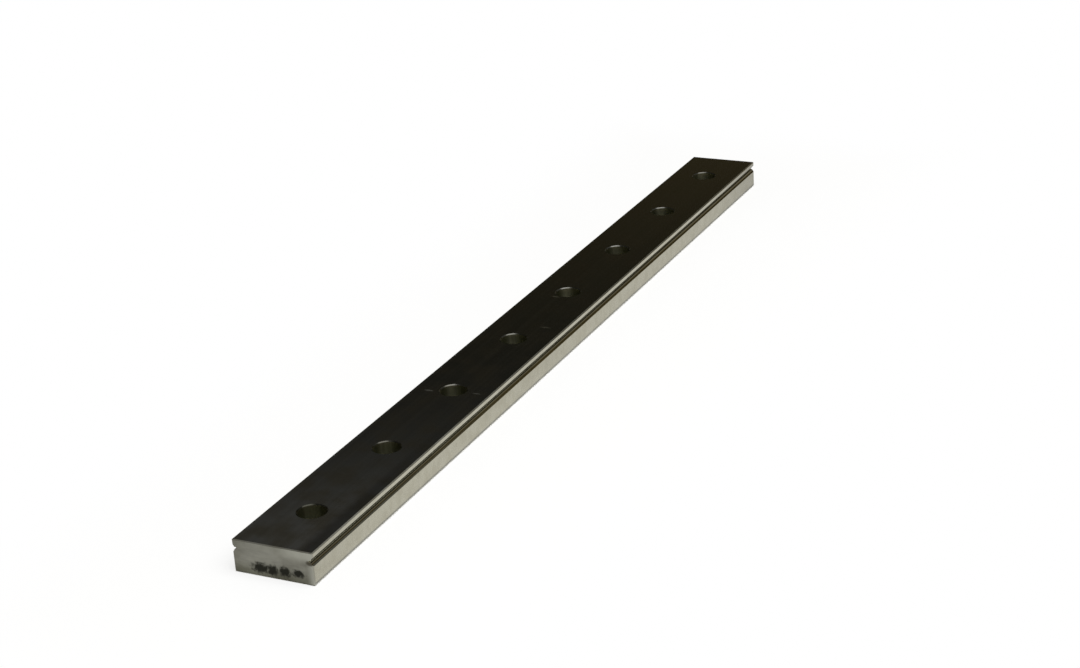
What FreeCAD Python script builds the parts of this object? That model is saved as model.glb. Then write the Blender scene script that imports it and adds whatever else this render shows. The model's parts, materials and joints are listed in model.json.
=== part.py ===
import FreeCAD, Part
import math
import os

# Miniature linear guide rail, wide type: one ground steel bar with a ball raceway
# along each flank and a row of counterbored screw holes down its middle.
# Millimetres. The bar lies along X on its base at Z = 0, and the origin is the
# middle of the base.

# Bar section
RAIL_WIDTH = 18.0
RAIL_HEIGHT = 7.0
TOP_EDGE_CHAMFER = 0.2
BASE_EDGE_CHAMFER = 0.25

# Ball raceway: a gothic arch, two arcs a little larger than the ball
BALL_DIAMETER = 2.0
ARCH_CONFORMITY = 0.52        # arc radius as a share of the ball's diameter
CONTACT_ANGLE = 45.0          # degrees above and below the level of the ball's centre
BALL_STANDOFF = 0.5           # from the flank out to the ball's centre
BALL_BELOW_TOP = 1.9          # from the top face down to the ball's centre
RELIEF_WIDTH = 0.5            # slot ground into the root of the arch
RELIEF_WALL = 0.25            # straight wall of that slot, before its round floor

# Screw holes
HOLE_COUNT = 8
HOLE_PITCH = 30.0
END_DISTANCE = 15.0           # from each end to the nearest hole's axis
SCREW_HOLE_DIAMETER = 3.5
COUNTERBORE_DIAMETER = 6.0
COUNTERBORE_DEPTH = 4.5
MOUTH_CHAMFER = 0.2           # where the counterbore breaks the top face
FOOT_CHAMFER = 0.2            # where the screw hole breaks the base

# Ends
END_EDGE_CHAMFER = 0.2

# How far a cutting tool runs past the face that it cuts
OVERRUN = 1.0

RAIL_LENGTH = (HOLE_COUNT - 1) * HOLE_PITCH + 2 * END_DISTANCE


def section_point(side, y, z):
    """A point of the section at the rail's -X end, y to the left (side = 1) or the right (-1)."""
    return FreeCAD.Vector(-RAIL_LENGTH / 2, side * y, z)


def line(start, end):
    return Part.LineSegment(start, end).toShape()


def arc(start, middle, end):
    return Part.Arc(start, middle, end).toShape()


def flank_edges(side):
    """Outline of one flank from base to top, with its raceway, as a list of edges."""
    half_width = RAIL_WIDTH / 2
    ball_z = RAIL_HEIGHT - BALL_BELOW_TOP
    contact = math.radians(CONTACT_ANGLE)

    # Each arc touches the ball at the contact angle, so its centre lies past the
    # ball's centre on the line from the contact point.
    arc_radius = ARCH_CONFORMITY * BALL_DIAMETER
    centre_shift = arc_radius - BALL_DIAMETER / 2
    centre_out = BALL_STANDOFF + centre_shift * math.cos(contact)
    centre_rise = centre_shift * math.sin(contact)

    # Angles below the level of the arc's centre, at the flank and at the relief slot
    mouth_angle = math.acos(centre_out / arc_radius)
    slot_angle = math.asin((centre_rise + RELIEF_WIDTH / 2) / arc_radius)
    middle_angle = (mouth_angle + slot_angle) / 2

    def arch_point(angle, up):
        """A point on the lower arc (up = -1) or on its mirror image, the upper one (up = +1)."""
        y = half_width + centre_out - arc_radius * math.cos(angle)
        drop = arc_radius * math.sin(angle) - centre_rise
        return section_point(side, y, ball_z + up * drop)

    slot_mouth_y = half_width + centre_out - arc_radius * math.cos(slot_angle)
    slot_wall_y = slot_mouth_y - RELIEF_WALL
    slot_half = RELIEF_WIDTH / 2
    slot_low = section_point(side, slot_wall_y, ball_z - slot_half)
    slot_root = section_point(side, slot_wall_y - slot_half, ball_z)
    slot_high = section_point(side, slot_wall_y, ball_z + slot_half)

    base_inner = section_point(side, half_width - BASE_EDGE_CHAMFER, 0)
    base_outer = section_point(side, half_width, BASE_EDGE_CHAMFER)
    top_outer = section_point(side, half_width, RAIL_HEIGHT - TOP_EDGE_CHAMFER)
    top_inner = section_point(side, half_width - TOP_EDGE_CHAMFER, RAIL_HEIGHT)

    lower = [arch_point(a, -1) for a in (mouth_angle, middle_angle, slot_angle)]
    upper = [arch_point(a, +1) for a in (slot_angle, middle_angle, mouth_angle)]
    return [
        line(base_inner, base_outer),
        line(base_outer, lower[0]),
        arc(*lower),
        line(lower[2], slot_low),
        arc(slot_low, slot_root, slot_high),
        line(slot_high, upper[0]),
        arc(*upper),
        line(upper[2], top_outer),
        line(top_outer, top_inner),
    ]


def bar():
    """The ground section drawn out to the rail's length."""
    top_half = RAIL_WIDTH / 2 - TOP_EDGE_CHAMFER
    base_half = RAIL_WIDTH / 2 - BASE_EDGE_CHAMFER
    top = line(section_point(-1, top_half, RAIL_HEIGHT), section_point(1, top_half, RAIL_HEIGHT))
    base = line(section_point(-1, base_half, 0), section_point(1, base_half, 0))
    edges = flank_edges(1) + flank_edges(-1) + [top, base]
    outline = Part.Wire(Part.__sortEdges__(edges))
    return Part.Face(outline).extrude(FreeCAD.Vector(RAIL_LENGTH, 0, 0))


def end_bevel(span, depth):
    """A diamond block whose faces shave the end edges of two opposite faces at 45 degrees.

    span is the vector from one of those faces to the other, and depth the vector along
    which the block is drawn out, past the bar on both sides.
    """
    reach = (RAIL_LENGTH + span.Length) / 2 - END_EDGE_CHAMFER
    start = FreeCAD.Vector(0, 0, RAIL_HEIGHT / 2) - depth / 2
    tip = FreeCAD.Vector(reach, 0, 0)
    side = FreeCAD.Vector(span).normalize() * reach
    outline = [start + tip, start + side, start - tip, start - side, start + tip]
    return Part.Face(Part.makePolygon(outline)).extrude(depth)


def screw_hole(x):
    """The tool for one counterbored hole: a turned profile with both mouths chamfered."""
    hole = SCREW_HOLE_DIAMETER / 2
    counterbore = COUNTERBORE_DIAMETER / 2
    seat = RAIL_HEIGHT - COUNTERBORE_DEPTH
    above = RAIL_HEIGHT + OVERRUN
    profile = [
        (0, -OVERRUN),
        (hole + FOOT_CHAMFER + OVERRUN, -OVERRUN),
        (hole, FOOT_CHAMFER),
        (hole, seat),
        (counterbore, seat),
        (counterbore, RAIL_HEIGHT - MOUTH_CHAMFER),
        (counterbore + MOUTH_CHAMFER + OVERRUN, above),
        (0, above),
        (0, -OVERRUN),
    ]
    outline = Part.makePolygon([FreeCAD.Vector(x + r, 0, z) for r, z in profile])
    return Part.Face(outline).revolve(FreeCAD.Vector(x, 0, 0), FreeCAD.Vector(0, 0, 1), 360)


def guide_rail():
    """The finished rail as one solid."""
    across = FreeCAD.Vector(0, 1, 0)
    up = FreeCAD.Vector(0, 0, 1)
    upright_edges = end_bevel(across * RAIL_WIDTH, up * (RAIL_HEIGHT + 2 * OVERRUN))
    level_edges = end_bevel(up * RAIL_HEIGHT, across * (RAIL_WIDTH + 2 * OVERRUN))
    first_x = END_DISTANCE - RAIL_LENGTH / 2
    holes = [screw_hole(first_x + i * HOLE_PITCH) for i in range(HOLE_COUNT)]
    rail = bar().common(upright_edges).common(level_edges).cut(holes)
    return rail.Solids[0]


os.makedirs("parts", exist_ok=True)
rail = guide_rail()
rail.exportStep("parts/guide_rail.step")
box = rail.BoundBox
print(f"guide_rail valid {rail.isValid()}, {rail.Volume:.1f} mm3, "
      f"{box.XLength:.3f} x {box.YLength:.3f} x {box.ZLength:.3f} mm, base at {box.ZMin:.3f}")
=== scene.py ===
import json
import logging
import math
from dataclasses import dataclass, field
from enum import IntEnum
from typing import Sequence

import bmesh
import bpy
from bmesh.types import BMEdge, BMesh, BMFace, BMVert
from mathutils import Matrix, Vector


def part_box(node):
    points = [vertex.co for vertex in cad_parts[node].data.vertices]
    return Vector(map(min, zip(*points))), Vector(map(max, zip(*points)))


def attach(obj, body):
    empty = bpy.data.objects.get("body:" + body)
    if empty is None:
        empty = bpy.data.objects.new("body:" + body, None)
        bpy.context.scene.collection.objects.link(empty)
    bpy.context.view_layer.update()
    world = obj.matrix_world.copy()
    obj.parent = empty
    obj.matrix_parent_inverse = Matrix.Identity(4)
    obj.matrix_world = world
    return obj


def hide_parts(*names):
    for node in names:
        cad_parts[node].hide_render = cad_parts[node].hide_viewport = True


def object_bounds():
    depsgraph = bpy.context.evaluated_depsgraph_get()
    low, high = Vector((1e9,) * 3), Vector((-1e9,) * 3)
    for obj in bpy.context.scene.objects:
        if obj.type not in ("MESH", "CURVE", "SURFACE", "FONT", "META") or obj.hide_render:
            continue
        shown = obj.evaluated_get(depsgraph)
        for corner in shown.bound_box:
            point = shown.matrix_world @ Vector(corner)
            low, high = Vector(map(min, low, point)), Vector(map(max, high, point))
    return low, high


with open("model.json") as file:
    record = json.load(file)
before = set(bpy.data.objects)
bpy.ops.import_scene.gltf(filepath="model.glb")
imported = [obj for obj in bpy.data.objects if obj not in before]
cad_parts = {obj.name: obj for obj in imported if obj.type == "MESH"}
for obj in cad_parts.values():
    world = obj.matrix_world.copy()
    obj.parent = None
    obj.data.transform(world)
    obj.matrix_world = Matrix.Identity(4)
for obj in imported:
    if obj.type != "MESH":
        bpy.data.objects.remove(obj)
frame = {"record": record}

CAD_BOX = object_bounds()
MM = 0.001
LOG = logging.getLogger("guide_rail_scene")

# Tolerances of the mesh work, in metres
CUT_DISTANCE = 1e-8
MERGE_DISTANCE = 1e-7
SAME_PLACE = 1e-6

# Least part of a face normal along an axis: of a face square to it, and of one that leans towards it
SQUARE = 0.999
LEANING = 0.1

Colour = tuple[float, float, float]
Point = tuple[float, float, float]
Span = tuple[float, float]
Node = bpy.types.Node
Socket = bpy.types.NodeSocket


class Region(IntEnum):
    """Surfaces of the rail that are worked in different ways or carry different painted light, as material
    slot numbers.
    """

    TOP = 0
    FLANK = 1
    RACEWAY = 2
    END = 3
    BORE = 4
    BASE = 5
    EDGE = 6
    RIM = 7
    SEAT = 8
    LIP = 9
    RELIEF = 10
    FOOT = 11


def mm(*lengths: float) -> tuple[float, ...]:
    """Turns millimetres into metres."""
    return tuple(length * MM for length in lengths)


def rgba(colour: Colour) -> tuple[float, float, float, float]:
    """Gives a colour full cover."""
    return (*colour, 1.0)


# Shader nodes


class NodeSheet:
    """A node tree with short ways to add nodes and join them."""

    def __init__(self, tree: bpy.types.NodeTree) -> None:
        """Starts from an emptied tree."""
        self.tree = tree
        tree.nodes.clear()

    def add(self, kind: str, inputs: dict[str | int, object] | None = None, **settings: object) -> Node:
        """Adds a node.

        Args:
            kind: Blender's name of the node type.
            inputs: An output to link or a plain value for each input, by name or number.
            settings: Properties of the node, by name.

        Returns:
            The new node.
        """
        node = self.tree.nodes.new(kind)
        for name, value in settings.items():
            setattr(node, name, value)
        for key, value in (inputs or {}).items():
            self.feed(node.inputs[key], value)
        return node

    def feed(self, socket: Socket, value: object) -> None:
        """Gives an input its value.

        Args:
            socket: The input.
            value: An output to link to it, or a plain value.
        """
        if isinstance(value, Socket):
            self.tree.links.new(value, socket)
        else:
            socket.default_value = value

    def group(self, tree: bpy.types.NodeTree, inputs: dict[str, object]) -> Socket:
        """Places a shader group and gives its output."""
        return self.add("ShaderNodeGroup", inputs, node_tree=tree).outputs[0]

    def math(self, operation: str, *values: object, clamp: bool = False) -> Socket:
        """Works a number out from others, held between 0 and 1 if asked for."""
        node = self.add("ShaderNodeMath", dict(enumerate(values)), operation=operation, use_clamp=clamp)
        return node.outputs[0]

    def vector(self, operation: str, a: object, b: object) -> Socket:
        """Works a vector out from two others."""
        return self.add("ShaderNodeVectorMath", {0: a, 1: b}, operation=operation).outputs["Vector"]

    def axes(self, vector: Socket) -> bpy.types.NodeOutputs:
        """Splits a vector into its parts X, Y and Z."""
        return self.add("ShaderNodeSeparateXYZ", {0: vector}).outputs

    def noise(self, vector: Socket, scale: object, detail: float, roughness: float = 0.55) -> Socket:
        """Adds a noise pattern from 0 to 1, with as many and as strong finer layers as asked for."""
        inputs = {"Vector": vector, "Scale": scale, "Detail": detail, "Roughness": roughness}
        return self.add("ShaderNodeTexNoise", inputs).outputs["Fac"]

    def ramp(self, value: Socket, span: Span, to_low: float, to_high: float) -> Socket:
        """Maps a value smoothly from one range to another.

        Args:
            value: The value to map.
            span: The values that give to_low and to_high.
            to_low: Result at and below the span's low end.
            to_high: Result at and above its high end.

        Returns:
            The mapped value.
        """
        inputs = {"Value": value, "From Min": span[0], "From Max": span[1],
                  "To Min": to_low, "To Max": to_high}
        return self.add("ShaderNodeMapRange", inputs, interpolation_type="SMOOTHSTEP").outputs["Result"]

    def rise(self, value: Socket, span: Span) -> Socket:
        """Goes smoothly from 0 to 1 over a span."""
        return self.ramp(value, span, 0.0, 1.0)

    def fade(self, value: Socket, span: Span) -> Socket:
        """Goes smoothly from 1 to 0 over a span."""
        return self.ramp(value, span, 1.0, 0.0)

    def blend(self, share: object, a: object, b: object, mode: str = "MIX") -> Socket:
        """Lays one colour on another, by its share of the surface.

        Args:
            share: Share of the upper colour.
            a: The lower colour.
            b: The upper colour.
            mode: How the two are joined.

        Returns:
            The mixed colour.
        """
        node = self.add("ShaderNodeMix", {"Factor": share, "A": a, "B": b},
                        data_type="RGBA", blend_type=mode, clamp_factor=True)
        return node.outputs["Result"]

    def cover(self, share: Socket, tone: Socket, colour: Colour) -> Socket:
        """Lays a colour over a tone, by its share of the surface."""
        return self.blend(share, tone, rgba(colour))

    def darken(self, share: Socket, tone: Socket, colour: Colour) -> Socket:
        """Multiplies a tone by a colour, by its share of the surface."""
        return self.blend(share, tone, rgba(colour), mode="MULTIPLY")


def new_group(name: str, inputs: Sequence[tuple[str, str, object]],
              output: str) -> tuple[NodeSheet, bpy.types.NodeOutputs, Socket]:
    """Starts a shader node group with named sockets.

    Args:
        name: The group's name.
        inputs: Name, socket type and starting value of each input.
        output: Name of its output, a number.

    Returns:
        The group's sheet, the values that it is given and the socket for its result.
    """
    tree = bpy.data.node_groups.new(name, "ShaderNodeTree")
    for socket_name, kind, value in inputs:
        socket = tree.interface.new_socket(socket_name, in_out="INPUT", socket_type=kind)
        socket.default_value = value
    tree.interface.new_socket(output, in_out="OUTPUT", socket_type="NodeSocketFloat")
    sheet = NodeSheet(tree)
    given = sheet.add("NodeGroupInput").outputs
    return sheet, given, sheet.add("NodeGroupOutput").inputs[output]


@dataclass(frozen=True)
class Dab:
    """A small patch on the rail's surface.

    Attributes:
        centre: Its middle.
        half_size: Half its size along each axis.
    """

    centre: Point
    half_size: Point

    @classmethod
    def on_end(cls, y: float, z: float, half_width: float, half_height: float) -> "Dab":
        """Lays a patch on the -X end, by its place and half sizes in millimetres."""
        return cls((CAD_BOX[0][0], *mm(y, z)), mm(half_width, half_width, half_height))

    @classmethod
    def on_top(cls, x: float, y: float, half_length: float, half_width: float) -> "Dab":
        """Lays a patch on the top face, by its place and half sizes in millimetres."""
        return cls((*mm(x, y), CAD_BOX[1][2]), mm(half_length, half_width, half_width))


class SharedEffects:
    """Shader groups that several finishes of the rail use."""

    # Broad marks among the fine ones: their size beside the fine ones', and their share
    BROAD_SCALE = 0.23
    BROAD_SHARE = 0.45
    # Values of the cloud pattern between which the film thickens
    FILM_EDGE: Span = (0.35, 0.68)
    # A dab's ragged edge: its pattern to a metre, and where it is full and ends, in half sizes
    RAGGED_SCALE = 1500.0
    DAB_EDGE: Span = (0.6, 1.45)

    def __init__(self) -> None:
        """Builds each group once."""
        self.marks = self._tool_marks()
        self.film = self._oil_film()
        self.dab = self._ragged_dab()

    def dabs(self, sheet: NodeSheet, place: Socket, dabs: Sequence[Dab], raggedness: float) -> Socket:
        """Lays dabs on a surface.

        Args:
            sheet: The material's sheet.
            place: Position on the rail.
            dabs: The dabs.
            raggedness: How ragged their edges are.

        Returns:
            Their cover, from 0 to 1.
        """
        cover: Socket | float = 0.0
        for dab in dabs:
            one = sheet.group(self.dab, {"Position": place, "Centre": dab.centre,
                                         "Half Size": dab.half_size, "Raggedness": raggedness})
            cover = sheet.math("MAXIMUM", one, cover)
        return cover

    def _tool_marks(self) -> bpy.types.NodeTree:
        """Fine parallel marks of a wheel or cutter, long one way and narrow the other.

        Returns:
            A group from a position and the marks to a metre along each axis to Lines, from 0 to 1.
        """
        sheet, given, lines = new_group(
            "tool_marks",
            [("Position", "NodeSocketVector", (0.0, 0.0, 0.0)),
             ("Stretch", "NodeSocketVector", (1.0, 1.0, 1.0))],
            "Lines")
        place = sheet.vector("MULTIPLY", given["Position"], given["Stretch"])
        fine = sheet.noise(place, 1.0, detail=4.0, roughness=0.7)
        broad = sheet.noise(place, self.BROAD_SCALE, detail=2.0)
        fine_part = sheet.math("MULTIPLY", fine, 1.0 - self.BROAD_SHARE)
        sheet.feed(lines, sheet.math("MULTIPLY_ADD", broad, self.BROAD_SHARE, fine_part))
        return sheet.tree

    def _oil_film(self) -> bpy.types.NodeTree:
        """Uneven thin film of preserving oil, in soft clouds a few millimetres across.

        Returns:
            A group from a position and the clouds to a metre to Film, from 0 to 1.
        """
        sheet, given, film = new_group(
            "oil_film",
            [("Position", "NodeSocketVector", (0.0, 0.0, 0.0)),
             ("Size", "NodeSocketFloat", 200.0)],
            "Film")
        cloud = sheet.noise(given["Position"], given["Size"], detail=4.0)
        sheet.feed(film, sheet.rise(cloud, self.FILM_EDGE))
        return sheet.tree

    def _ragged_dab(self) -> bpy.types.NodeTree:
        """One dab of ink, a dark patch or bared metal with a ragged edge.

        Returns:
            A group from a position, the dab's centre, half sizes and raggedness to Cover, from 0 to 1.
        """
        sheet, given, cover = new_group(
            "ragged_dab",
            [("Position", "NodeSocketVector", (0.0, 0.0, 0.0)),
             ("Centre", "NodeSocketVector", (0.0, 0.0, 0.0)),
             ("Half Size", "NodeSocketVector", (1.0, 1.0, 1.0)),
             ("Raggedness", "NodeSocketFloat", 1.0)],
            "Cover")
        away = sheet.vector("SUBTRACT", given["Position"], given["Centre"])
        away = sheet.vector("DIVIDE", away, given["Half Size"])
        length = sheet.add("ShaderNodeVectorMath", {0: away}, operation="LENGTH").outputs["Value"]
        pattern = sheet.noise(given["Position"], self.RAGGED_SCALE, detail=2.0)
        ragged = sheet.math("SUBTRACT", pattern, 0.5)
        edge = sheet.math("MULTIPLY_ADD", ragged, given["Raggedness"], length)
        sheet.feed(cover, sheet.fade(edge, self.DAB_EDGE))
        return sheet.tree


# Finishes


@dataclass(frozen=True)
class SteelFinish:
    """A worked steel surface with tool marks and a film of oil.

    Attributes:
        name: The material's name.
        colour: Reflectance of the clean metal.
        film_colour: Reflectance under the thickest film.
        roughness: Roughness between the marks.
        roughness_spread: How much rougher the marks and the film make it.
        mark_tone: How much the marks change the colour.
        mark_depth: Height of the marks, in metres.
        stretch: Marks to a metre along each axis.
        mark_range: Values of the marks' pattern that are darkest and palest.
        film_size: Clouds of film to a metre.
        edge_tint: How strongly the surface reflects at a grazing angle.
    """

    name: str
    colour: Colour
    film_colour: Colour
    roughness: float
    roughness_spread: float
    mark_tone: float
    mark_depth: float = 0.002 * MM
    stretch: Point = (300.0, 300.0, 300.0)
    mark_range: Span = (0.3, 0.7)
    film_size: float = 160.0
    edge_tint: float = 0.75

    def material(self, effects: SharedEffects) -> bpy.types.Material:
        """Makes the material.

        Args:
            effects: The shared shader groups.

        Returns:
            The finished material.
        """
        material = bpy.data.materials.new(self.name)
        material.use_nodes = True
        sheet = NodeSheet(material.node_tree)
        place = sheet.add("ShaderNodeTexCoord").outputs["Object"]
        lines = sheet.group(effects.marks, {"Position": place, "Stretch": self.stretch})
        film = sheet.group(effects.film, {"Position": place, "Size": self.film_size})

        tone = sheet.blend(film, rgba(self.colour), rgba(self.film_colour))
        shade = sheet.ramp(lines, self.mark_range, 1.0 - self.mark_tone, 1.0 + self.mark_tone)
        tone = sheet.blend(1.0, tone, shade, mode="MULTIPLY")
        tone = self.markings(sheet, effects, place, tone)
        uneven = sheet.math("MULTIPLY", sheet.math("ADD", film, lines), 0.5)
        rough = sheet.math("MULTIPLY_ADD", uneven, self.roughness_spread, self.roughness, clamp=True)

        bump = sheet.add("ShaderNodeBump", {"Strength": 1.0, "Distance": self.mark_depth, "Height": lines})
        steel = sheet.add("ShaderNodeBsdfPrincipled", {
            "Base Color": tone, "Metallic": 1.0, "Roughness": rough,
            "Specular Tint": rgba((self.edge_tint,) * 3), "Normal": bump.outputs["Normal"]})
        sheet.add("ShaderNodeOutputMaterial", {"Surface": steel.outputs["BSDF"]})
        return material

    def markings(self, sheet: NodeSheet, effects: SharedEffects, place: Socket, tone: Socket) -> Socket:
        """Leaves a plain surface unmarked."""
        return tone


@dataclass(frozen=True)
class InkedEnd(SteelFinish):
    """The cut ends: a painted highlight along the -Y side and in the upper corner there, darker towards
    the base, a dark patch beside the groove's end and ink on the -X end.

    Attributes:
        edge_highlight: Colour of the painted highlight along the -Y side and in the upper corner there.
        side_band: Places across the rail where the side's painted highlight is full and where it ends.
        corner_across: Places across the rail where the corner's painted highlight is full and where it
            ends.
        corner_up: Heights where the corner's painted highlight starts and where it is full.
        low_darkening: Colour that the lowest part of the face is darkened with.
        low_darkening_heights: Heights where the darkening is full and where it ends.
        dark_patch: Colour of the dark patch beside the groove's end.
        dark_patch_dab: Place of that patch.
        dark_patch_raggedness: How ragged its edge is.
        ink: Colour of the ink.
        ink_dabs: Places of the ink.
        ink_raggedness: How ragged its edges are.
    """

    edge_highlight: Colour = (0.36, 0.36, 0.312)
    side_band: Span = mm(-9.2, -7.2)
    corner_across: Span = mm(-9.0, 4.0)
    corner_up: Span = mm(4.0, 6.0)
    low_darkening: Colour = (0.62, 0.62, 0.56)
    low_darkening_heights: Span = mm(0.0, 3.4)
    dark_patch: Colour = (0.078, 0.072, 0.054)
    dark_patch_dab: Dab = Dab.on_end(-8.3, 4.7, 0.9, 0.5)
    dark_patch_raggedness: float = 0.35
    ink: Colour = (0.02, 0.02, 0.015)
    ink_dabs: tuple[Dab, ...] = (
        Dab.on_end(3.0, 1.75, 1.75, 1.0),
        Dab.on_end(0.3, 1.75, 1.15, 1.05),
        Dab.on_end(-2.4, 1.85, 1.2, 1.0),
        Dab.on_end(-5.4, 2.0, 1.2, 0.8),
    )
    ink_raggedness: float = 1.7

    def markings(self, sheet: NodeSheet, effects: SharedEffects, place: Socket, tone: Socket) -> Socket:
        """Lays the painted highlight, the darkening towards the base, the dark patch and the ink on the
        metal's colour.

        Args:
            sheet: The material's sheet.
            effects: The shared shader groups.
            place: Position on the rail.
            tone: The metal's colour.

        Returns:
            The marked colour.
        """
        axes = sheet.axes(place)
        # Painted highlight in the upper corner on the -Y side
        corner = sheet.math("MULTIPLY", sheet.fade(axes["Y"], self.corner_across),
                            sheet.rise(axes["Z"], self.corner_up))
        tone = sheet.cover(corner, tone, self.edge_highlight)
        # Darker towards the base
        tone = sheet.darken(sheet.fade(axes["Z"], self.low_darkening_heights), tone, self.low_darkening)
        # Painted highlight along the -Y side
        tone = sheet.cover(sheet.fade(axes["Y"], self.side_band), tone, self.edge_highlight)
        # A dark patch beside the groove's end
        patch_cover = effects.dabs(sheet, place, [self.dark_patch_dab], self.dark_patch_raggedness)
        tone = sheet.cover(patch_cover, tone, self.dark_patch)
        inked = effects.dabs(sheet, place, self.ink_dabs, self.ink_raggedness)
        return sheet.cover(inked, tone, self.ink)


@dataclass(frozen=True)
class ScuffedTop(SteelFinish):
    """The ground top, with the dark reflection of the room painted into its colour, a few short pale
    scuffs and a smear of oil along its -Y edge.

    Attributes:
        smear: Colour that the metal is darkened with under the smear.
        smear_across: Places across the rail where the smear is thick and where it ends.
        smear_along: Places along the rail where the smear is thick and where it ends.
        scuff: Colour of the bared metal.
        scuffs: Places of the scuffs.
        scuff_raggedness: How ragged their edges are.
    """

    smear: Colour = (0.5, 0.5, 0.5)
    smear_across: Span = mm(-7.4, -4.6)
    smear_along: Span = mm(-118.0, -45.0)
    scuff: Colour = (0.22, 0.22, 0.21)
    scuffs: tuple[Dab, ...] = (
        Dab.on_top(-46.8, 5.2, 0.3, 0.9),
        Dab.on_top(-45.2, -5.7, 0.22, 0.9),
        Dab.on_top(-6.8, -4.2, 0.3, 1.0),
        Dab.on_top(11.4, 1.8, 0.25, 1.0),
    )
    scuff_raggedness: float = 1.7

    def markings(self, sheet: NodeSheet, effects: SharedEffects, place: Socket, tone: Socket) -> Socket:
        """Lays the smear and the scuffs on the metal's colour.

        Args:
            sheet: The material's sheet.
            effects: The shared shader groups.
            place: Position on the rail.
            tone: The metal's colour.

        Returns:
            The scuffed colour.
        """
        axes = sheet.axes(place)
        smeared = sheet.math("MULTIPLY", sheet.fade(axes["X"], self.smear_along),
                             sheet.fade(axes["Y"], self.smear_across))
        tone = sheet.darken(smeared, tone, self.smear)
        bared = effects.dabs(sheet, place, self.scuffs, self.scuff_raggedness)
        return sheet.cover(bared, tone, self.scuff)


@dataclass(frozen=True)
class ShadedHole(SteelFinish):
    """Surfaces of the holes, with painted shade on their sides and in the holes near the -X end.

    Attributes:
        hole_shade: Colour that the metal is darkened with under the painted shade.
        right: Places across the rail where the painted shade of the -Y side is full and where it ends.
        left: Places across the rail where the painted shade of the +Y side starts and where it is full.
        end: Places along the rail where the painted shade is full and where it ends.
    """

    hole_shade: Colour = (0.30, 0.30, 0.27)
    right: Span = mm(-0.5, 1.6)
    left: Span = mm(3.1, 3.3)
    end: Span = mm(-108.0, -35.0)

    def markings(self, sheet: NodeSheet, effects: SharedEffects, place: Socket, tone: Socket) -> Socket:
        """Darkens the metal's colour with painted shade.

        Args:
            sheet: The material's sheet.
            effects: The shared shader groups, not used here.
            place: Position on the rail.
            tone: The metal's colour.

        Returns:
            The colour with its painted shade.
        """
        axes = sheet.axes(place)
        # Painted shade on both sides of each hole, and all over the holes near the -X end
        sides = sheet.math("MAXIMUM", sheet.fade(axes["Y"], self.right), sheet.rise(axes["Y"], self.left))
        hole_shaded = sheet.math("MAXIMUM", sides, sheet.fade(axes["X"], self.end))
        return sheet.darken(hole_shaded, tone, self.hole_shade)


@dataclass(frozen=True)
class EndShadedSide(SteelFinish):
    """A surface along the rail's side with painted shade at one end or both.

    Attributes:
        end_shade: Colour that the metal is darkened with where the painted shade is full.
        end_shade_near: Places along the rail where the -X end's painted shade is full and where it ends.
        end_shade_far: Places along the rail where the +X end's painted shade starts and where it is full.
    """

    end_shade: Colour = (0.82, 0.82, 0.83)
    end_shade_near: Span = mm(-150.0, -90.0)
    end_shade_far: Span = mm(80.0, 125.0)

    def markings(self, sheet: NodeSheet, effects: SharedEffects, place: Socket, tone: Socket) -> Socket:
        """Darkens the metal's colour at the ends with painted shade.

        Args:
            sheet: The material's sheet.
            effects: The shared shader groups, not used here.
            place: Position on the rail.
            tone: The metal's colour.

        Returns:
            The colour with painted shade at the ends.
        """
        along = sheet.axes(place)["X"]
        # Painted shade towards one end or both
        end_shaded = sheet.math("MAXIMUM", sheet.fade(along, self.end_shade_near), sheet.rise(along, self.end_shade_far))
        return sheet.darken(end_shaded, tone, self.end_shade)


@dataclass(frozen=True)
class FootShadedFlank(EndShadedSide):
    """The flank below the raceway, with a line of painted shade low down, along the foot.

    Attributes:
        low_darkening: Colour that the metal is darkened with under the painted shade.
        low_darkening_heights: Heights where that painted shade is full and where it ends.
    """

    low_darkening: Colour = (0.56, 0.57, 0.61)
    low_darkening_heights: Span = mm(0.45, 0.92)

    def markings(self, sheet: NodeSheet, effects: SharedEffects, place: Socket, tone: Socket) -> Socket:
        """Darkens the colour, already shaded at the ends, along the lower edge with painted shade.

        Args:
            sheet: The material's sheet.
            effects: The shared shader groups.
            place: Position on the rail.
            tone: The metal's colour.

        Returns:
            The colour with its line of painted shade.
        """
        tone = super().markings(sheet, effects, place, tone)
        # Painted shade along the foot
        foot_shaded = sheet.fade(sheet.axes(place)["Z"], self.low_darkening_heights)
        return sheet.darken(foot_shaded, tone, self.low_darkening)


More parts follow.
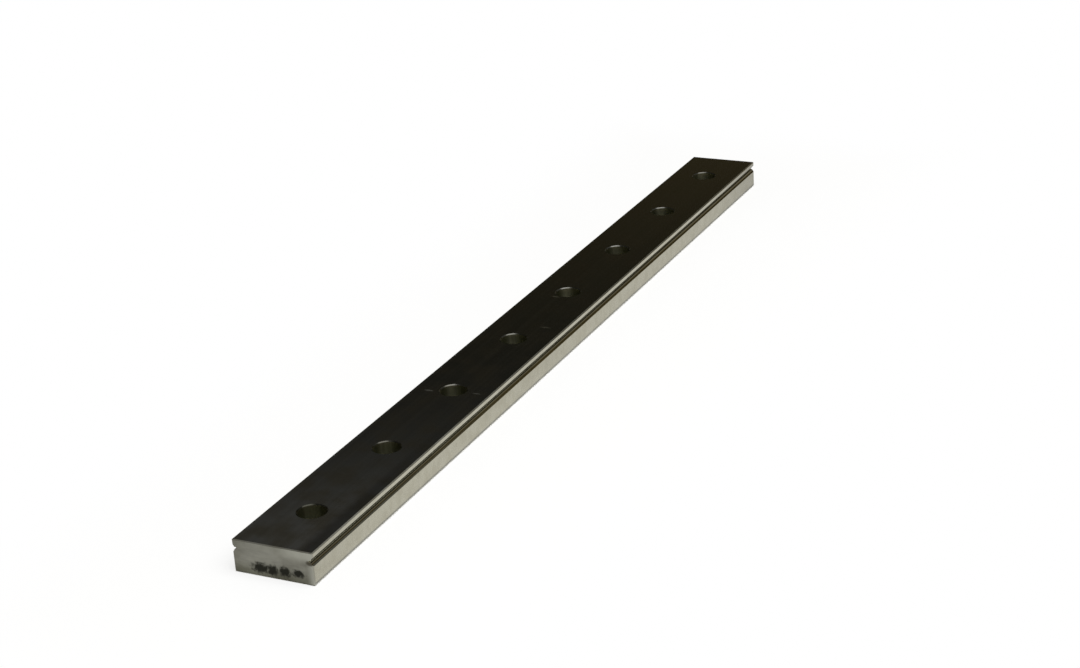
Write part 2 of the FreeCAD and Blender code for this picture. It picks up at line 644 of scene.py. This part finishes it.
@dataclass(frozen=True)
class ShadedRaceway(EndShadedSide):
    """The raceway, with painted shade above a lighter band in its lower arc and a darker, browner band
    below it.

    Attributes:
        oil: Colour that the metal is darkened with under the painted shade above the lighter band.
        upper_shade_heights: Heights where that painted shade starts and where it is full.
        lower_band: Colour that the metal is darkened and tinted brown with below the lighter band.
        lower_band_heights: Heights where that darker band is full and where it ends.
        lower_band_along: Places along the rail where that darker band starts and where it is full.
    """

    # Painted shade above the lighter band
    oil: Colour = (0.68, 0.634, 0.55)
    upper_shade_heights: Span = mm(4.50, 4.62)
    lower_band: Colour = (0.56, 0.44, 0.2)
    lower_band_heights: Span = mm(4.37, 4.46)
    lower_band_along: Span = mm(-115.0, -25.0)

    def markings(self, sheet: NodeSheet, effects: SharedEffects, place: Socket, tone: Socket) -> Socket:
        """Darkens the colour, already shaded at the ends, with painted shade above the lighter band and a
        browner band below it.

        Args:
            sheet: The material's sheet.
            effects: The shared shader groups.
            place: Position on the rail.
            tone: The metal's colour.

        Returns:
            The colour with its painted shade and its browner band.
        """
        tone = super().markings(sheet, effects, place, tone)
        axes = sheet.axes(place)
        # Painted shade above the lighter band
        tone = sheet.darken(sheet.rise(axes["Z"], self.upper_shade_heights), tone, self.oil)
        # A darker, browner band below the lighter band, fading out towards the -X end
        lower_band_share = sheet.math("MULTIPLY", sheet.fade(axes["Z"], self.lower_band_heights),
                             sheet.rise(axes["X"], self.lower_band_along))
        return sheet.darken(lower_band_share, tone, self.lower_band)


# Spans past the rail's ends, for surfaces that get no painted shade at that end
PAST_NEAR_END: Span = mm(-150.0, -125.0)
PAST_FAR_END: Span = mm(125.0, 150.0)

FINISHES: dict[Region, SteelFinish] = {
    # Painted reflection: the top's dark colour and low edge tint carry the dark room that the ground steel
    # reflects
    Region.TOP: ScuffedTop(
        "ground_top", colour=(0.065, 0.0645, 0.059), film_colour=(0.055, 0.051, 0.04),
        roughness=0.10, roughness_spread=0.08, stretch=(25.0, 5200.0, 400.0),
        mark_tone=0.12, edge_tint=0.55),
    Region.FLANK: FootShadedFlank(
        "ground_flank", colour=(0.44, 0.425, 0.343), film_colour=(0.41, 0.393, 0.31),
        roughness=0.22, roughness_spread=0.12, stretch=(5200.0, 900.0, 900.0),
        mark_tone=0.05, film_size=420.0),
    Region.RACEWAY: ShadedRaceway(
        "lapped_raceway", colour=(0.165, 0.16, 0.118), film_colour=(0.141, 0.134, 0.093),
        roughness=0.08, roughness_spread=0.06, stretch=(40.0, 4000.0, 4000.0),
        mark_depth=0.001 * MM, mark_tone=0.10,
        end_shade=(0.78, 0.79, 0.86), end_shade_near=mm(-130.0, -40.0), end_shade_far=PAST_FAR_END),
    Region.END: InkedEnd(
        "cut_end", colour=(0.222, 0.22, 0.187), film_colour=(0.162, 0.158, 0.13),
        roughness=0.42, roughness_spread=0.2, stretch=(400.0, 500.0, 2400.0),
        mark_depth=0.008 * MM, mark_tone=0.12),
    Region.BORE: ShadedHole(
        "turned_bore", colour=(0.305, 0.304, 0.208), film_colour=(0.264, 0.262, 0.176),
        roughness=0.43, roughness_spread=0.10, stretch=(1300.0, 1300.0, 60.0),
        mark_depth=0.003 * MM, mark_tone=0.25,
        hole_shade=(0.43, 0.435, 0.36), left=mm(2.0, 2.95), end=mm(-150.0, -10.0)),
    Region.BASE: SteelFinish(
        "ground_base", colour=(0.36, 0.355, 0.31), film_colour=(0.31, 0.30, 0.25),
        roughness=0.28, roughness_spread=0.16, stretch=(25.0, 4200.0, 400.0),
        mark_depth=0.004 * MM, mark_tone=0.1),
    Region.EDGE: SteelFinish(
        "bright_edge", colour=(0.32, 0.315, 0.272), film_colour=(0.26, 0.25, 0.203),
        roughness=0.12, roughness_spread=0.08, mark_tone=0.08),
    # Painted reflection: the rim's dark colour and low edge tint carry the dark room, like the top's
    Region.RIM: ShadedHole(
        "hole_rim", colour=(0.08, 0.079, 0.072), film_colour=(0.062, 0.059, 0.049),
        roughness=0.2, roughness_spread=0.12, mark_tone=0.08, edge_tint=0.55),
    Region.SEAT: SteelFinish(
        "turned_seat", colour=(0.30, 0.298, 0.25), film_colour=(0.25, 0.247, 0.205),
        roughness=0.45, roughness_spread=0.2, stretch=(900.0, 900.0, 60.0),
        mark_depth=0.006 * MM, mark_tone=0.15),
    # Painted highlight: the lip is the flank's ground steel, made paler for the bright strip above the
    # raceway, with painted shade at both ends
    Region.LIP: EndShadedSide(
        "ground_lip", colour=(0.482, 0.466, 0.379), film_colour=(0.453, 0.435, 0.346),
        roughness=0.22, roughness_spread=0.12, stretch=(5200.0, 900.0, 900.0),
        mark_tone=0.05, film_size=420.0, end_shade=(0.66, 0.66, 0.67)),
    # Painted light: the slot is ground steel like the raceway, made paler where it lies in shade, with
    # painted shade growing towards the +X end
    Region.RELIEF: EndShadedSide(
        "ground_relief", colour=(0.41, 0.405, 0.32), film_colour=(0.345, 0.335, 0.25),
        roughness=0.5, roughness_spread=0.2, stretch=(40.0, 4000.0, 4000.0),
        mark_tone=0.10, end_shade=(0.5, 0.46, 0.35), end_shade_near=PAST_NEAR_END, end_shade_far=mm(-90.0, 110.0)),
    # Painted reflection: the base chamfer's near-white colour stands in for the white floor that it
    # mirrors
    Region.FOOT: SteelFinish(
        "bright_foot", colour=(0.96, 0.96, 0.93), film_colour=(0.90, 0.895, 0.86),
        roughness=0.1, roughness_spread=0.08, mark_tone=0.05),
}


# The rail


@dataclass
class SectionPen:
    """Draws one half of the rail's section in an upright plane and mirrors it.

    Attributes:
        mesh: The mesh to draw in.
        x: The plane's place along the rail.
        tip: The point drawn last.
    """

    mesh: BMesh
    x: float
    tip: BMVert | None = field(init=False, default=None)

    def start(self, y: float, z: float) -> None:
        """Puts the pen down."""
        self.tip = self.mesh.verts.new((self.x, y, z))

    def line(self, y: float, z: float) -> None:
        """Draws a straight line from the pen's tip.

        Args:
            y: The line's end across the rail.
            z: Height of the line's end.
        """
        end = self.mesh.verts.new((self.x, y, z))
        self.mesh.edges.new((self.tip, end))
        self.tip = end

    def arc(self, y: float, z: float, angle: float, steps: int) -> None:
        """Draws an arc from the pen's tip.

        Args:
            y: Centre of the arc across the rail.
            z: Height of the arc's centre.
            angle: Turn about X, in radians.
            steps: Straight steps of the arc.
        """
        swept = bmesh.ops.spin(self.mesh, geom=[self.tip], cent=(self.x, y, z), axis=(1.0, 0.0, 0.0),
                               angle=angle, steps=steps)
        self.tip = next(v for v in swept["geom_last"] if isinstance(v, BMVert))

    def close(self) -> BMFace:
        """Mirrors the half outline and fills it.

        Returns:
            The section as one face.
        """
        mesh = self.mesh
        bmesh.ops.mirror(mesh, geom=mesh.verts[:] + mesh.edges[:], axis="Y", merge_dist=MERGE_DISTANCE)
        bmesh.ops.remove_doubles(mesh, verts=mesh.verts, dist=MERGE_DISTANCE)
        bmesh.ops.contextual_create(mesh, geom=mesh.edges[:])
        middle = [v for v in mesh.verts if abs(v.co.y) < MERGE_DISTANCE]
        bmesh.ops.dissolve_verts(mesh, verts=middle)
        return next(iter(mesh.faces))


@dataclass
class GuideRail:
    """The rail: a ground bar with a ball raceway along each flank and a row of screw holes.

    Lengths are in metres. The overall sizes and the holes come from the frame.

    Attributes:
        low: Lowest corner of the bar.
        high: Highest corner of the bar.
        hole_places: Axes of the screw holes along X.
        seat_radius: Radius of the counterbores.
        screw_radius: Radius of the screw holes.
        ball_out: Distance of the balls' centres from the rail's middle plane.
        ball_height: Height of the balls' centres.
        seat_depth: Depth of the counterbores.
        mouth_chamfer: Chamfer where a counterbore breaks the top.
        foot_chamfer: Chamfer where a screw hole breaks the base.
        top_chamfer: Chamfer of the top's long edges.
        base_chamfer: Chamfer of the base's long edges.
        end_chamfer: Chamfer of the edges of both ends.
        ball_radius: Radius of the balls.
        arch_radius: Radius of the raceway's two arcs.
        contact_angle: Angle above and below the level at which the arcs touch a ball.
        relief_width: Width of the slot in the raceway's root.
        relief_wall: Straight wall of that slot, before its round floor.
        sharp_angle: Turn beyond which a corner is rounded and an edge stays sharp.
        edge_round: Rounding of the long edges.
        round_steps: Steps of that rounding.
        arch_steps: Steps of an arc of the section.
        hole_steps: Steps round a hole.
        name: The piece's name.
        piece: The finished object.
    """

    low: Vector
    high: Vector
    hole_places: list[float]
    seat_radius: float
    screw_radius: float
    ball_out: float
    ball_height: float
    seat_depth: float = 4.5 * MM
    mouth_chamfer: float = 0.2 * MM
    foot_chamfer: float = 0.2 * MM
    top_chamfer: float = 0.2 * MM
    base_chamfer: float = 0.25 * MM
    end_chamfer: float = 0.2 * MM
    ball_radius: float = 1.0 * MM
    arch_radius: float = 1.04 * MM
    contact_angle: float = math.radians(45)
    relief_width: float = 0.5 * MM
    relief_wall: float = 0.25 * MM
    sharp_angle: float = math.radians(28)
    edge_round: float = 0.05 * MM
    round_steps: int = 3
    arch_steps: int = 14
    hole_steps: int = 96
    name: str = "rail_bar"
    piece: bpy.types.Object | None = field(init=False, default=None)

    @classmethod
    def from_frame(cls, node: str) -> "GuideRail":
        """Reads the rail's overall sizes and its holes from the frame.

        Args:
            node: The rail's node.

        Returns:
            A rail of those sizes.
        """
        low, high = (Vector(corner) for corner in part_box(node))
        mounts = frame["record"]["mounts"]
        seats = [m for m in mounts if m["kind"] == "bore"]
        screws = next(m for m in mounts if m["kind"] == "bolt_pattern")
        raceway = next(m for m in mounts if m["name"] == "left_raceway")
        return cls(low, high,
                   hole_places=[m["pos_m"][0] for m in seats],
                   seat_radius=seats[0]["dims"]["r_mm"] * MM,
                   screw_radius=screws["dims"]["hole_r_mm"] * MM,
                   ball_out=raceway["pos_m"][1],
                   ball_height=raceway["pos_m"][2])

    def build(self) -> None:
        """Models the rail as one closed mesh."""
        mesh = bmesh.new()
        self._draw_bar(mesh)
        self._shave_ends(mesh)
        self._split_cells(mesh)
        self._sink_holes(mesh)
        bmesh.ops.remove_doubles(mesh, verts=mesh.verts, dist=MERGE_DISTANCE)
        bmesh.ops.recalc_face_normals(mesh, faces=mesh.faces)
        # Keeps the cuts' rounding errors inside the bar's box
        for vert in mesh.verts:
            vert.co = [min(max(a, low), high) for a, low, high in zip(vert.co, self.low, self.high)]
        for face in mesh.faces:
            face.smooth = True
            face.material_index = self._region(face)
        data = bpy.data.meshes.new(self.name)
        mesh.to_mesh(data)
        mesh.free()
        data.set_sharp_from_angle(angle=self.sharp_angle)
        self.piece = bpy.data.objects.new(self.name, data)
        bpy.context.scene.collection.objects.link(self.piece)
        weighted = self.piece.modifiers.new("flat_faces_stay_flat", "WEIGHTED_NORMAL")
        weighted.keep_sharp = True

    def dress(self, effects: SharedEffects) -> None:
        """Gives each region of the rail its finish, in the order of the slots."""
        for region in Region:
            self.piece.data.materials.append(FINISHES[region].material(effects))

    def _draw_bar(self, mesh: BMesh) -> None:
        """Draws the section, rounds its edges and draws it out to the bar's length.

        Args:
            mesh: The mesh to draw in.
        """
        half, top, ball_z = self.high.y, self.high.z, self.ball_height
        shift = self.arch_radius - self.ball_radius
        centre_out = self.ball_out + shift * math.cos(self.contact_angle)
        rise = shift * math.sin(self.contact_angle)
        mouth = math.acos((centre_out - half) / self.arch_radius)
        slot = math.asin((rise + self.relief_width / 2) / self.arch_radius)
        mouth_drop = self.arch_radius * math.sin(mouth) - rise
        slot_y = centre_out - self.arch_radius * math.cos(slot) - self.relief_wall

        pen = SectionPen(mesh, self.low.x)
        pen.start(0.0, 0.0)
        pen.line(half - self.base_chamfer, 0.0)
        pen.line(half, self.base_chamfer)
        pen.line(half, ball_z - mouth_drop)
        pen.arc(centre_out, ball_z + rise, slot - mouth, self.arch_steps)
        pen.line(slot_y, ball_z - self.relief_width / 2)
        pen.arc(slot_y, ball_z, -math.pi, self.arch_steps)
        pen.line(slot_y + self.relief_wall, ball_z + self.relief_width / 2)
        pen.arc(centre_out, ball_z - rise, slot - mouth, self.arch_steps)
        pen.line(half, top - self.top_chamfer)
        pen.line(half - self.top_chamfer, top)
        pen.line(0.0, top)
        section = pen.close()

        corners = [v for v in section.verts if v.calc_edge_angle(0.0) > self.sharp_angle]
        bmesh.ops.bevel(mesh, geom=corners, offset=self.edge_round, affect="VERTICES",
                        segments=self.round_steps, profile=0.5, material=-1, clamp_overlap=True)
        drawn = bmesh.ops.extrude_face_region(mesh, geom=mesh.faces[:])
        moved = [v for v in drawn["geom"] if isinstance(v, BMVert)]
        bmesh.ops.translate(mesh, verts=moved, vec=(self.high.x - self.low.x, 0.0, 0.0))

    def _shave_ends(self, mesh: BMesh) -> None:
        """Chamfers the edges of both ends at 45 degrees.

        Args:
            mesh: The drawn bar.
        """
        middle = (self.low + self.high) / 2
        half = (self.high - self.low) / 2
        sides = [Vector(side) for side in ((0, 1, 0), (0, -1, 0), (0, 0, 1), (0, 0, -1))]
        for end in (Vector((-1, 0, 0)), Vector((1, 0, 0))):
            for side in sides:
                way = end + side
                edge = middle + Vector(a * b for a, b in zip(way, half))
                cut = bmesh.ops.bisect_plane(
                    mesh, geom=mesh.verts[:] + mesh.edges[:] + mesh.faces[:], dist=CUT_DISTANCE,
                    plane_co=edge - side * self.end_chamfer, plane_no=way, clear_outer=True)
                rim = [e for e in cut["geom_cut"] if isinstance(e, BMEdge)]
                bmesh.ops.holes_fill(mesh, edges=rim, sides=0)

    def _split_cells(self, mesh: BMesh) -> None:
        """Cuts the bar's faces halfway between the holes, so that each hole has its own stretch.

        Args:
            mesh: The drawn bar.
        """
        for left, right in zip(self.hole_places, self.hole_places[1:]):
            bmesh.ops.bisect_plane(
                mesh, geom=mesh.verts[:] + mesh.edges[:] + mesh.faces[:], dist=CUT_DISTANCE,
                plane_co=((left + right) / 2, 0.0, 0.0), plane_no=(1.0, 0.0, 0.0))

    def _sink_holes(self, mesh: BMesh) -> None:
        """Turns each counterbored hole and joins it to the top and base faces.

        Args:
            mesh: The bar, cut into one stretch for each hole.
        """
        for x in self.hole_places:
            for level, rim in self._turn_hole(mesh, x).items():
                plate = self._plate_at(mesh, x, level)
                border = plate.edges[:]
                bmesh.ops.delete(mesh, geom=[plate], context="FACES_ONLY")
                bmesh.ops.triangle_fill(mesh, use_beauty=True, edges=border + rim)

    def _turn_hole(self, mesh: BMesh, x: float) -> dict[float, list[BMEdge]]:
        """Turns the wall of one hole about its axis.

        Args:
            mesh: The mesh to turn it in.
            x: Place of the axis along the rail.

        Returns:
            The rim edges at the top face and at the base, by height.
        """
        top, base = self.high.z, self.low.z
        seat = top - self.seat_depth
        profile = [(self.seat_radius + self.mouth_chamfer, top),
                   (self.seat_radius, top - self.mouth_chamfer),
                   (self.seat_radius, seat),
                   (self.screw_radius, seat),
                   (self.screw_radius, base + self.foot_chamfer),
                   (self.screw_radius + self.foot_chamfer, base)]
        points = [mesh.verts.new((x + radius, 0.0, z)) for radius, z in profile]
        walls = [mesh.edges.new(pair) for pair in zip(points, points[1:])]
        bmesh.ops.spin(mesh, geom=points + walls, cent=(x, 0.0, 0.0), axis=(0.0, 0.0, 1.0),
                       angle=math.tau, steps=self.hole_steps, use_merge=True)
        reach = self.seat_radius + self.mouth_chamfer + self.edge_round
        rims: dict[float, list[BMEdge]] = {top: [], base: []}
        for edge in mesh.edges:
            near = all(math.hypot(v.co.x - x, v.co.y) < reach for v in edge.verts)
            if near and edge.is_boundary:
                height = sum(v.co.z for v in edge.verts) / 2
                rims[min(rims, key=lambda level: abs(level - height))].append(edge)
        return rims

    def _plate_at(self, mesh: BMesh, x: float, level: float) -> BMFace:
        """Finds the flat face around a hole's axis.

        Args:
            mesh: The bar.
            x: Place of the axis along the rail.
            level: Height of the face.

        Returns:
            The face at that height whose middle is nearest to the axis.
        """
        least_area = self.high.y * self.seat_radius
        flat = [f for f in mesh.faces if self._lies_at(f, level) and f.calc_area() > least_area]
        return min(flat, key=lambda f: abs(f.calc_center_median().x - x))

    @staticmethod
    def _lies_at(face: BMFace, level: float) -> bool:
        """Tells whether a face lies level at a height."""
        return abs(face.normal.z) > SQUARE and abs(face.calc_center_median().z - level) < SAME_PLACE

    def _region(self, face: BMFace) -> Region:
        """Tells which worked surface a face belongs to.

        Args:
            face: A face of the finished rail.

        Returns:
            The face's region.
        """
        middle, normal = face.calc_center_median(), face.normal
        axis_gap = min(math.hypot(middle.x - x, middle.y) for x in self.hole_places)
        if self._lies_at(face, self.high.z):
            return Region.TOP
        if self._lies_at(face, self.low.z):
            return Region.BASE
        if axis_gap < self.seat_radius + self.mouth_chamfer:
            if abs(normal.z) > SQUARE:
                return Region.SEAT
            return Region.RIM if middle.z > self.high.z - self.mouth_chamfer else Region.BORE
        if abs(normal.x) > SQUARE:
            return Region.END
        if abs(normal.y) > SQUARE and abs(abs(middle.y) - self.high.y) < SAME_PLACE:
            return Region.LIP if middle.z > self.ball_height else Region.FLANK
        if abs(normal.x) > LEANING:
            return Region.EDGE
        if middle.z - self.low.z < self.base_chamfer + self.edge_round:
            return Region.FOOT
        if self.high.z - middle.z < self.top_chamfer + self.edge_round:
            return Region.EDGE
        in_slot = abs(middle.z - self.ball_height) < self.relief_width / 2
        return Region.RELIEF if in_slot else Region.RACEWAY


# Studio and camera


@dataclass
class Studio:
    """A pale floor under a soft overhead lamp, with a dim room above a bright horizon.

    Lengths are in metres.

    Attributes:
        floor_half: Half the floor's width.
        floor_gap: How far the floor lies below the rail.
        floor_colour: Reflectance of the floor.
        floor_own_white: The floor's share of its own white beside the rail, where its shadow falls.
        shadow_reach: Distances from the rail between which that share grows to 1.
        lamp_size: Width of the lamp.
        lamp_distance: The lamp's distance from the origin.
        lamp_power: The lamp's power, in watts.
        lamp_way: Direction from the origin to the lamp.
        room: The room's colour at each height above the horizon, in degrees.
    """

    floor_half: float = 6.0
    floor_gap: float = 0.02 * MM
    floor_colour: Colour = (0.92, 0.92, 0.915)
    floor_own_white: float = 0.72
    shadow_reach: Span = mm(12.0, 55.0)
    lamp_size: float = 1.2
    lamp_distance: float = 1.3
    lamp_power: float = 17.0
    lamp_way: Point = (-0.16, -0.41, 0.90)
    room: tuple[tuple[float, Colour], ...] = (
        (0.0, (1.0, 1.0, 1.0)),
        (6.0, (0.62, 0.58, 0.5)),
        (12.0, (0.45, 0.385, 0.24)),
        (17.0, (0.27, 0.21, 0.09)),
        (21.0, (0.145, 0.132, 0.08)),
        (24.5, (0.065, 0.066, 0.054)),
        (28.0, (0.66, 0.66, 0.65)),
        (34.0, (0.36, 0.36, 0.35)),
    )

    def build(self) -> None:
        """Makes the floor, the lamp and the room."""
        self._floor()
        self._lamp()
        self._room()

    def _floor(self) -> None:
        """Lays a floor that looks white and still takes the shadow."""
        mesh = bmesh.new()
        bmesh.ops.create_grid(mesh, x_segments=1, y_segments=1, size=self.floor_half)
        bmesh.ops.translate(mesh, verts=mesh.verts, vec=(0.0, 0.0, CAD_BOX[0][2] - self.floor_gap))
        data = bpy.data.meshes.new("floor")
        mesh.to_mesh(data)
        mesh.free()
        floor = bpy.data.objects.new("floor", data)
        bpy.context.scene.collection.objects.link(floor)
        data.materials.append(self._floor_material())

    def _floor_material(self) -> bpy.types.Material:
        """Mixes a plain white surface with its own white for camera, glossy and clear rays.

        Returns:
            The floor's material.
        """
        material = bpy.data.materials.new("white_floor")
        material.use_nodes = True
        sheet = NodeSheet(material.node_tree)
        paper = sheet.add("ShaderNodeBsdfDiffuse", {"Color": rgba(self.floor_colour)})
        white = sheet.add("ShaderNodeEmission", {"Strength": 1.0})
        rays = sheet.add("ShaderNodeLightPath").outputs
        seen = sheet.math("MAXIMUM", rays["Is Camera Ray"], rays["Is Glossy Ray"])
        seen = sheet.math("MAXIMUM", seen, rays["Is Transmission Ray"])
        gap = self._gap_to_rail(sheet)
        white_share = sheet.ramp(gap, self.shadow_reach, self.floor_own_white, 1.0)
        bare = sheet.math("GREATER_THAN", gap, 0.0)
        share = sheet.math("MULTIPLY", sheet.math("MULTIPLY", seen, white_share), bare)
        mix = sheet.add("ShaderNodeMixShader", {0: share, 1: paper.outputs[0], 2: white.outputs[0]})
        sheet.add("ShaderNodeOutputMaterial", {"Surface": mix.outputs[0]})
        return material

    @staticmethod
    def _gap_to_rail(sheet: NodeSheet) -> Socket:
        """Measures the floor's distance from the rail's sides and ends.

        Args:
            sheet: The floor material's sheet.

        Returns:
            The distance in metres, below zero under the rail, where the floor has no white of its own.
        """
        axes = sheet.axes(sheet.add("ShaderNodeTexCoord").outputs["Object"])
        gaps = [sheet.math("SUBTRACT", sheet.math("ABSOLUTE", axes[axis]), half)
                for axis, half in zip("XY", CAD_BOX[1])]
        return sheet.math("MAXIMUM", *gaps)

    def _lamp(self) -> None:
        """Hangs a large soft lamp above the rail, on the camera's side."""
        light = bpy.data.lights.new("soft_lamp", "AREA")
        light.shape = "SQUARE"
        light.size = self.lamp_size
        light.energy = self.lamp_power
        lamp = bpy.data.objects.new("soft_lamp", light)
        way = Vector(self.lamp_way).normalized()
        lamp.location = way * self.lamp_distance
        lamp.rotation_euler = way.to_track_quat("Z", "Y").to_euler()
        bpy.context.scene.collection.objects.link(lamp)

    def _room(self) -> None:
        """Fills the room with a dim light that is bright along the horizon."""
        world = bpy.data.worlds.new("dim_room")
        bpy.context.scene.world = world
        world.use_nodes = True
        sheet = NodeSheet(world.node_tree)
        way = sheet.axes(sheet.add("ShaderNodeTexCoord").outputs["Generated"])
        bands = sheet.add("ShaderNodeValToRGB", {"Fac": way["Z"]})
        bands.color_ramp.interpolation = "EASE"
        stops = bands.color_ramp.elements
        # A new stop's first place doesn't matter: each is moved to its own below
        while len(stops) < len(self.room):
            stops.new(0.5)
        for stop, (height, colour) in zip(stops, self.room):
            stop.position = math.sin(math.radians(height))
            stop.color = rgba(colour)
        light = sheet.add("ShaderNodeBackground", {"Color": bands.outputs["Color"]})
        sheet.add("ShaderNodeOutputWorld", {"Surface": light.outputs[0]})


@dataclass
class PhotoCamera:
    """The camera at the photograph's viewing angle. Lengths in metres, angles in degrees.

    Attributes:
        azimuth: The camera's place round the rail, from the -Y side.
        elevation: Its height above the floor, as an angle.
        roll: Its turn about its own line of sight.
        target: The point in the middle of the picture.
        distance: Its distance from that point.
        focal_pixels: Focal length, in pixels of the picture.
        picture_width: The picture's width, in pixels.
        sensor: Width of the sensor, in millimetres.
        clip_start: Distance from which it sees things.
    """

    azimuth: float = -63.284
    elevation: float = 22.639
    roll: float = -3.664
    target: Point = mm(4.26, 2.895, 0.0)
    distance: float = 511.877 * MM
    focal_pixels: float = 2145.7
    picture_width: int = 1080
    sensor: float = 36.0
    clip_start: float = 10.0 * MM

    def build(self) -> None:
        """Places the camera and makes it the scene's own."""
        turn, rise, roll = (math.radians(a) for a in (self.azimuth, self.elevation, self.roll))
        back = Vector((math.sin(turn) * math.cos(rise), -math.cos(turn) * math.cos(rise), math.sin(rise)))
        right = Vector((math.cos(turn), math.sin(turn), 0.0))
        up = back.cross(right)
        side = right * math.cos(roll) + up * math.sin(roll)
        top = up * math.cos(roll) - right * math.sin(roll)
        data = bpy.data.cameras.new("camera")
        data.sensor_fit = "HORIZONTAL"
        data.sensor_width = self.sensor
        data.lens = self.focal_pixels * self.sensor / self.picture_width
        data.clip_start = self.clip_start
        camera = bpy.data.objects.new("camera", data)
        place = Matrix((side, top, back)).transposed().to_4x4()
        place.translation = Vector(self.target) + back * self.distance
        camera.matrix_world = place
        bpy.context.scene.collection.objects.link(camera)
        bpy.context.scene.camera = camera


def main() -> None:
    """Builds the rail, dresses it, and sets the studio and the camera."""
    logging.basicConfig(level=logging.INFO, format="%(message)s")
    bpy.context.scene.view_settings.view_transform = "Standard"
    effects = SharedEffects()
    rail = GuideRail.from_frame("guide_rail")
    rail.build()
    rail.dress(effects)
    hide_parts("guide_rail")
    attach(rail.piece, "root")
    LOG.info("%s: %d faces", rail.name, len(rail.piece.data.polygons))
    Studio().build()
    PhotoCamera().build()


if __name__ == "__main__":
    main()
